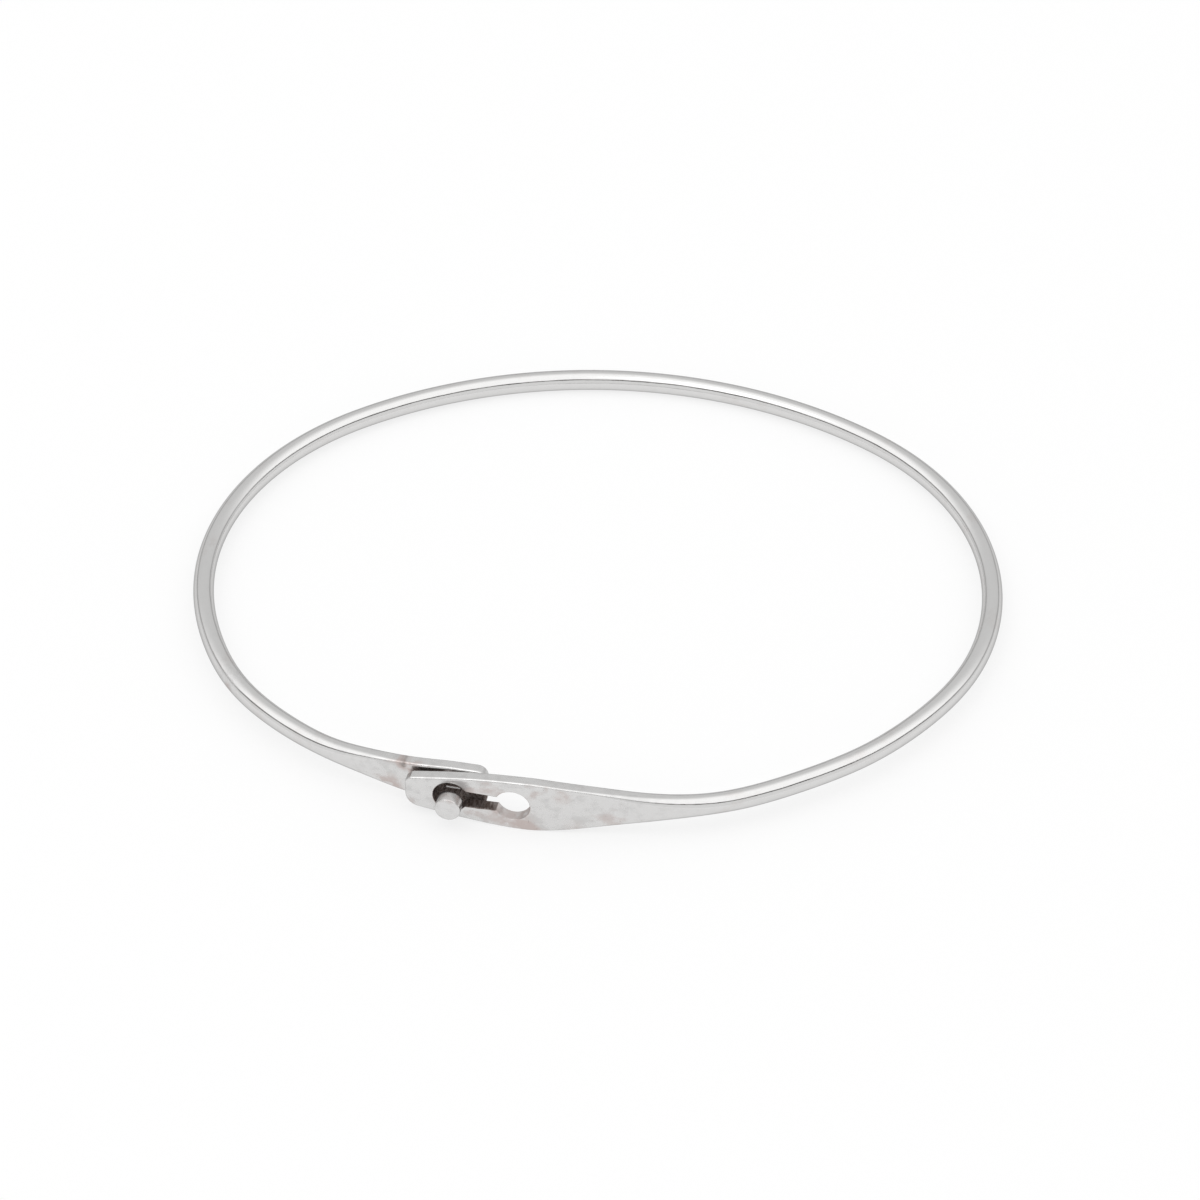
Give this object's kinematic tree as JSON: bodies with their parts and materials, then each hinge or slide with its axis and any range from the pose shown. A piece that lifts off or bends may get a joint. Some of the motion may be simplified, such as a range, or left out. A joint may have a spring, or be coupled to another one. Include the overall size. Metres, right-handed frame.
{
  "type": "bangle bracelet",
  "caption": "Oval sprung wire bangle whose two ends are forged flat, fastened by a headed stud in a keyhole slot.",
  "frame": {"origin": "centre of the oval, half way up the wire", "axes": "+Z along the wrist, -Y towards the clasp, X along the oval's long axis"},
  "size_m": [0.0608, 0.0519, 0.0044],
  "materials": {
    "band_silver": "polished, lightly tarnished silver",
    "stud_silver": "polished silver"
  },
  "bodies": {
    "back": {"back_band": "band_silver"},
    "left": {"left_band": "band_silver"},
    "right": {"right_band": "band_silver"},
    "front_end": {"front_arm": "band_silver"},
    "rear_end": {"rear_arm": "band_silver", "clasp_stud": "stud_silver"}
  },
  "joints": [
    {"name": "squeeze", "type": "hinge", "parent": "back", "child": "left", "pos_m": [-0.01352, 0.02227, 0], "axis": [0, 0, 1], "range_deg": [0, 6.35], "stiffness_Nm_per_rad": 0.1},
    {"name": "squeeze_follow", "type": "hinge", "parent": "left", "child": "rear_end", "pos_m": [-0.0216, -0.01741, 0], "axis": [0, 0, 1], "range_deg": [-6.35, 0], "stiffness_Nm_per_rad": 0.1},
    {"name": "open_follow", "type": "hinge", "parent": "back", "child": "right", "pos_m": [0.00601, 0.0245, 0], "axis": [0, 0, 1], "range_deg": [-12, 0], "stiffness_Nm_per_rad": 0.1},
    {"name": "open", "type": "hinge", "parent": "right", "child": "front_end", "pos_m": [0.02548, -0.01314, 0], "axis": [0, 0, 1], "range_deg": [0, 36], "stiffness_Nm_per_rad": 0.1}
  ],
  "couplings": [
    {"joint": "squeeze_follow", "follows": "squeeze", "ratio": -1},
    {"joint": "open_follow", "follows": "open", "ratio": -0.33}
  ]
}
